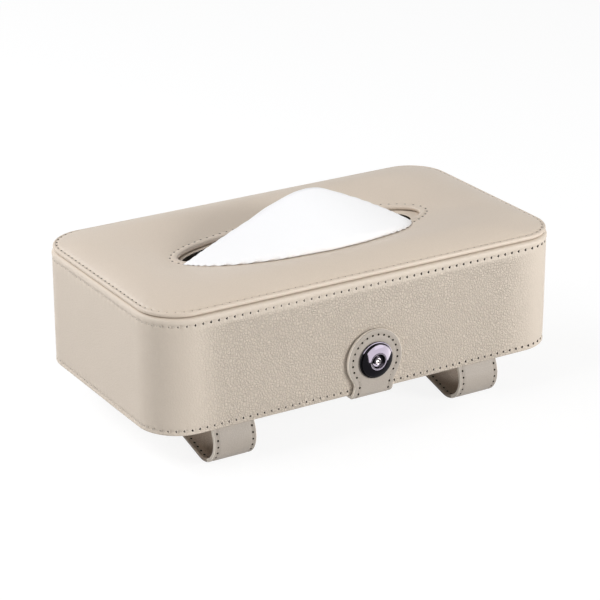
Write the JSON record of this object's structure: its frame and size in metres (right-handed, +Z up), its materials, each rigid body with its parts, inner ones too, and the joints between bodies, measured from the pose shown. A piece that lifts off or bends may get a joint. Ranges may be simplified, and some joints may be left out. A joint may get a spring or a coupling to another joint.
{
  "type": "car tissue holder",
  "caption": "Padded leather tissue box with an oval slot in its top, a bottom flap closed by a magnetic snap tab, and strap loops underneath.",
  "frame": {"origin": "on the surface it stands on, under the middle of the whole part's box; the strap loops' lowest faces are at z = 0", "axes": "+X along the box's length to the viewer's right, +Y from the snap's side to the back, +Z up"},
  "size_m": [0.23, 0.1316, 0.1064],
  "materials": {
    "pebbled_leather": "satin, pebble grain",
    "smooth_leather": "satin, fine grain",
    "strap_leather": "satin, fine grain",
    "lining": "matte",
    "stiff_board": "matte",
    "foam": "matte",
    "gunmetal": "polished, dark",
    "magnet_steel": "satin",
    "hook_and_loop": "matte, napped",
    "tissue": "matte, soft"
  },
  "bodies": {
    "case": {"wall_skin": "pebbled_leather", "wall_board": "stiff_board", "wall_lining": "lining", "top_skin": "smooth_leather", "top_board": "stiff_board", "top_foam": "foam", "top_lining": "lining", "slot_facing": "smooth_leather", "snap_plate": "magnet_steel", "snap_washer": "magnet_steel", "tissue_pack": "tissue"},
    "base_flap": {"flap_skin": "pebbled_leather", "flap_board": "stiff_board", "flap_lining": "lining", "flap_hinge_strip": "strap_leather", "tab_root": "strap_leather", "left_strap_anchor": "strap_leather", "left_loop_patch": "hook_and_loop", "right_strap_anchor": "strap_leather", "right_loop_patch": "hook_and_loop"},
    "closure_tab": {"tab_skin": "strap_leather", "tab_backing": "strap_leather", "snap_cap": "gunmetal", "snap_rivet": "gunmetal", "snap_magnet": "magnet_steel"},
    "left_strap": {"left_strap_skin": "strap_leather", "left_strap_backing": "strap_leather", "left_hook_patch": "hook_and_loop"},
    "right_strap": {"right_strap_skin": "strap_leather", "right_strap_backing": "strap_leather", "right_hook_patch": "hook_and_loop"},
    "tissue": {"pulled_tissue": "tissue"}
  },
  "joints": [
    {"name": "flap_hinge", "type": "hinge", "parent": "case", "child": "base_flap", "pos_m": [0, 0.06107, 0.02117], "axis": [1, 0, 0], "range_deg": [0, 100], "deforming": ["flap_hinge_strip"]},
    {"name": "tab_fold", "type": "hinge", "parent": "base_flap", "child": "closure_tab", "pos_m": [0.0018, -0.06168, 0.02052], "axis": [1, 0, 0], "range_deg": [0, 150]},
    {"name": "left_strap_swing", "type": "hinge", "parent": "base_flap", "child": "left_strap", "pos_m": [-0.073, -0.05502, 0.02022], "axis": [-1, 0, 0], "range_deg": [0, 60]},
    {"name": "right_strap_swing", "type": "hinge", "parent": "base_flap", "child": "right_strap", "pos_m": [0.0675, -0.05502, 0.02022], "axis": [-1, 0, 0], "range_deg": [0, 60]},
    {"name": "tissue_pull", "type": "slide", "parent": "case", "child": "tissue", "axis": [0, 0, 1], "range_m": [0, 0.0285]}
  ]
}
